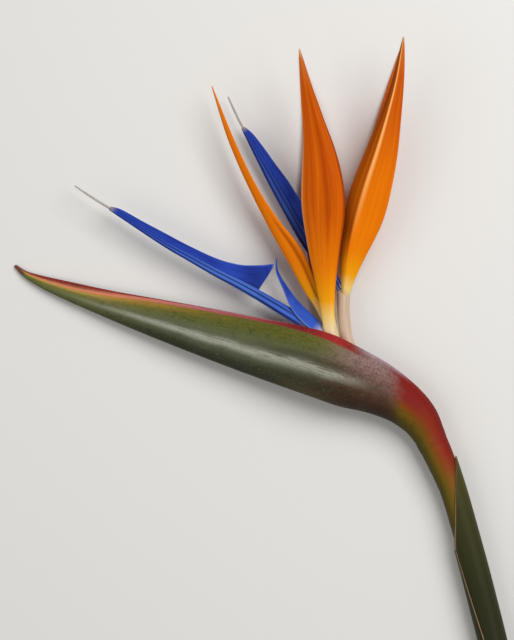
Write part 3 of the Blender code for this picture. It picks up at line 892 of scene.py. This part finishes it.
def build_first_floret():
    """The older floret, whose arrow points along the spathe."""
    z = FLORET_Z
    stalk = rod("flower_1_stalk", Path((67.1, -18.4, 6.9), (62.5, -10.4, 8), (50, -2.5, 9.5),
                                       (38, 5, z), (29.5, 14, z), (25.6, 26.8, z), (25.4, 40, z)),
                flow((0, 2.4), (0.3, 2.5), (0.55, 3.3), (0.75, 4.1), (0.85, 4.1), (1, 1.6)), 30)
    finish_piece(stalk, stalk_tissue("stalk_cream", tint(226, 210, 166), tint(200, 176, 110)),
                 "flower_1_stalk")
    median = blade("flower_1_sepal_median",
                   [(25.0, 28.0, z), (19.1, 39.8, z), (14.3, 46.9, z + 0.5),
                    (6.2, 61.4, z + 1), (-1.8, 75.8, z + 1.5), (-9.2, 90.4, z + 2),
                    (-15.8, 104.8, z + 2), (-21.4, 119.2, z + 2), (-27.5, 139.4, z + 2)],
                   leaf_width(4.0, 0.4, 0.38, 1.2),
                   flow((0, 1.8), (0.13, 4.7), (0.27, 7.8), (0.36, 7.4), (0.43, 5.8),
                        (0.57, 3.6), (0.83, 2.1), (1, 0.2)), roll=-88)
    finish_piece(median, sepal_orange("sepal_orange_median", 0.3, crease=-0.84, painted_light=0.65),
                 "flower_1_sepal_median")
    near = blade("flower_1_sepal_near",
                 [(26.3, 26.5, z + 3.4), (25.4, 47.7, z + 8), (25.8, 65.7, z + 12.5),
                  (26.5, 81.5, z + 16), (26.0, 94.0, z + 18.3), (23.7, 108.5, z + 20.5),
                  (20.0, 122.8, z + 22.5), (16.2, 137.0, z + 24), (11.7, 155.7, z + 25)],
                 flow((0, 3.0), (0.14, 5.2), (0.3, 10.2), (0.41, 13.4), (0.5, 13.8), (0.62, 11.2),
                      (0.74, 7.2), (0.86, 3.9), (0.95, 1.6), (1, 0.2)),
                 flow((0, 0.8), (0.2, 2.2), (0.45, 3.0), (0.75, 1.6), (1, 0.05)),
                 right=(0.42, 1.0), keel=0.06)
    finish_piece(near, sepal_orange("sepal_orange_near", 0.24, keel=0.0, shade_streaks=True),
                 "flower_1_sepal_near")
    far = blade("flower_1_sepal_far",
                [(26.8, 27.8, z - 3.0), (22.8, 50.0, 2.8), (21.8, 88.0, 0.8),
                 (18.6, 122.0, 0.5), (11.9, 153.0, 0.5)],
                leaf_width(9.0, 0.3, 0.47, 1.25), leaf_width(2.6, 0.1, 0.47, 1.25), roll=180)
    finish_piece(far, sepal_orange("sepal_orange_far", 0.22),
                 "flower_1_sepal_far")
    arrow = [(-73.4, 84.4, z), (-68.8, 81.4, z), (-58.1, 74.4, z), (-47.3, 67.6, z),
             (-36.4, 61.5, z), (-25.6, 55.5, z), (-14.8, 49.9, z), (-4.0, 43.8, z),
             (6.8, 37.3, z), (14.6, 32.6, z), (24.6, 26.4, z)]
    build_arrow("flower_1", arrow,
                petal_blue("petal_blue_arrow", 0.92, 0.99, ARROW_LINES, tip=0.035, pale_lit_rod=0.65),
                flow((0, 0.7), (0.14, 0.9), (0.33, 1.3), (0.52, 1.75), (0.72, 2.2),
                     (0.84, 2.4), (1, 1.4)),
                flow((0, 0.2), (0.035, 1.6), (0.14, 2.4), (0.25, 3.2), (0.36, 3.4),
                     (0.47, 4.2), (0.56, 6.3), (0.6, 8.6), (0.64, 11.6), (0.668, 14.8)),
                end=0.668)
    short = blade("flower_1_short_petal",
                  [(25.6, 28.0, z), (21.6, 32.4, z), (17.0, 36.9, z), (12.0, 41.8, z),
                   (7.6, 47.3, z), (2.5, 55.4, z), (1.4, 61.9, z)],
                  flow((0, 2.4), (0.14, 3.4), (0.4, 3.4), (1, 0.3)),
                  flow((0, 2.6), (0.14, 4.6), (0.31, 5.4), (0.48, 4.5), (0.67, 2.3), (0.85, 1.0),
                       (1, 0.1)), roll=90, wall=PETAL_WALL)
    finish_piece(short, petal_blue("petal_blue_short", 0.2, 0.02),
                 "flower_1_short_petal")
    build_style("flower_1", arrow, [(-81.5, 89.4, z), (-89.1, 94.5, z)],
                flow((0, 0.5), (0.85, 0.6), (0.95, 0.5), (1, 0.35)))


def build_second_floret():
    """The younger floret, behind the first, with its arrow pointing up."""
    z = FLORET_Z
    radii = [2.4, 2.4, 2.7, 3.1, 3.1, 2.8, 2.9, 3.0]
    stalk = rod("flower_2_stalk", Path((71.9, -15.9, 6.9), (67.4, -7.8, 8), (56.5, 3.5, 9.5),
                                       (45.5, 10.5, z), (37.5, 16.5, z), (33.4, 25, z),
                                       (31.8, 36, z), (31.6, 46.6, z)),
                flow(*[(i / (len(radii) - 1), radius) for i, radius in enumerate(radii)]), 30)
    finish_piece(stalk, stalk_tissue("stalk_pink", STALK_PINK, tint(172, 142, 112)),
                 "flower_2_stalk")
    median = blade("flower_2_sepal_median",
                   [(33.2, 47.2, z), (35.6, 62.0, z), (39.8, 84.0, z + 1),
                    (47.4, 108.0, z + 1), (55.2, 138.0, z + 1)],
                   leaf_width(3.6, 0.32, 0.42, 1.25), leaf_width(3.4, 0.2, 0.42, 1.25), roll=-88)
    finish_piece(median, sepal_orange("sepal_orange_2_median", 0.2, foot=STALK_PINK),
                 "flower_2_sepal_median")
    near = blade("flower_2_sepal_near",
                 [(31.7, 42.6, z + 0.8), (32.0, 46.6, z + 3.1), (33.6, 61.2, z + 8),
                  (36.8, 77.0, z + 12), (41.2, 93.2, z + 15), (46.8, 110.7, z + 17.5),
                  (52.0, 128.7, z + 19), (55.6, 143.5, z + 19.5), (58.5, 161.1, z + 19)],
                 flow((0, 1.8), (0.03, 2.4), (0.08, 4.0), (0.19, 8.0), (0.29, 11.2),
                      (0.36, 12.1), (0.47, 11.4), (0.6, 9.0), (0.72, 6.1), (0.85, 3.3),
                      (0.95, 1.4), (1, 0.2)),
                 flow((0, 0.6), (0.15, 1.8), (0.35, 3.0), (0.7, 1.8), (1, 0.05)),
                 left=(0.52, 1.9), keel=0.12)
    finish_piece(near, sepal_orange("sepal_orange_2_near", 0.21, keel=0.95, shade=0.56,
                                    foot=STALK_PINK),
                 "flower_2_sepal_near")
    far = blade("flower_2_sepal_far",
                [(33.6, 47.2, z - 2.4), (35.6, 60.0, 4.4), (40.8, 84.0, 0.95),
                 (48.6, 110.0, 0.5), (58.0, 158.0, 0.5)],
                leaf_width(8.2, 0.2, 0.36, 1.4), leaf_width(3.0, 0.05, 0.35, 1.25), roll=180)
    finish_piece(far, sepal_orange("sepal_orange_2_far", 0.2, foot=STALK_PINK),
                 "flower_2_sepal_far")
    arrow = [(-13.5, 120.6, z - 4), (-4.0, 103.0, z - 4), (4.5, 87.5, z - 3.6),
             (13.5, 71.5, z - 3), (21.6, 59.5, z - 2), (27.6, 52.0, z - 0.6), (30.0, 47.3, z)]
    build_arrow("flower_2", arrow,
                petal_blue("petal_blue_arrow_2", 0.97, 1.05, ARROW_LINES, tip=0.035, pale_lit_rod=0.35),
                flow((0, 0.7), (0.17, 1.3), (0.36, 1.9), (0.8, 2.0), (1, 0.8)),
                flow((0, 0.2), (0.05, 1.75), (0.15, 2.9), (0.25, 3.6), (0.36, 4.6),
                     (0.5, 5.4), (0.64, 7.4)),
                end=0.64)
    short = blade("flower_2_short_petal",
                  [(31.4, 48.6, z), (28.4, 55.2, z - 1), (24.4, 63.0, z - 1), (20.5, 70.0, z)],
                  flow((0, 2.6), (0.4, 2.6), (1, 0.3)),
                  flow((0, 1.0), (0.5, 1.6), (1, 0.1)), roll=90, wall=PETAL_WALL)
    finish_piece(short, petal_blue("petal_blue_short_2", 0.1, -0.02),
                 "flower_2_short_petal")
    build_style("flower_2", arrow, [(-17.0, 127.5, z - 4), (-20.2, 134.6, z - 4)],
                flow((0, 0.4), (0.8, 0.55), (0.95, 0.5), (1, 0.35)))


# ---------------------------------------------------------------- camera, floor and light

def area_light(name, place, size, power):
    lamp = bpy.data.lights.new(name, "AREA")
    lamp.shape = "SQUARE"
    lamp.size = size
    lamp.energy = power
    item = bpy.data.objects.new(name, lamp)
    item.location = place
    item.rotation_euler = (-Vector(place)).to_track_quat("-Z", "Y").to_euler()
    bpy.context.scene.collection.objects.link(item)


def build_studio():
    centre_x, centre_y, frame_height, distance, sensor = -0.0072, 0.0342, 0.288, 6.0, 36
    camera = bpy.data.cameras.new("camera")
    camera.sensor_width = sensor
    camera.lens = sensor * distance / frame_height
    camera.clip_end = 50
    view = bpy.data.objects.new("camera", camera)
    view.location = (centre_x, centre_y, distance)
    bpy.context.scene.collection.objects.link(view)
    bpy.context.scene.camera = view

    bpy.ops.object.select_all(action="DESELECT")
    bpy.ops.mesh.primitive_plane_add(size=6)
    floor = bpy.context.active_object
    floor.name = "floor"
    paper = Finish("floor_paper")
    floor.data.materials.append(paper.finish(tint(228, 226, 222), 0.9))

    area_light("key", (0.55, 0.5, 0.95), 0.8, 12)
    area_light("fill", (-0.8, -0.3, 1.0), 1.0, 3.8)
    world = bpy.data.worlds.new("studio")
    bpy.context.scene.world = world
    world.use_nodes = True
    sky = world.node_tree.nodes["Background"]
    sky.inputs["Color"].default_value = (1, 1, 1, 1)
    sky.inputs["Strength"].default_value = 0.26
    bpy.context.scene.view_settings.view_transform = "Standard"


build_studio()
build_stem()
build_sheath()
build_spathe()
build_first_floret()
build_second_floret()
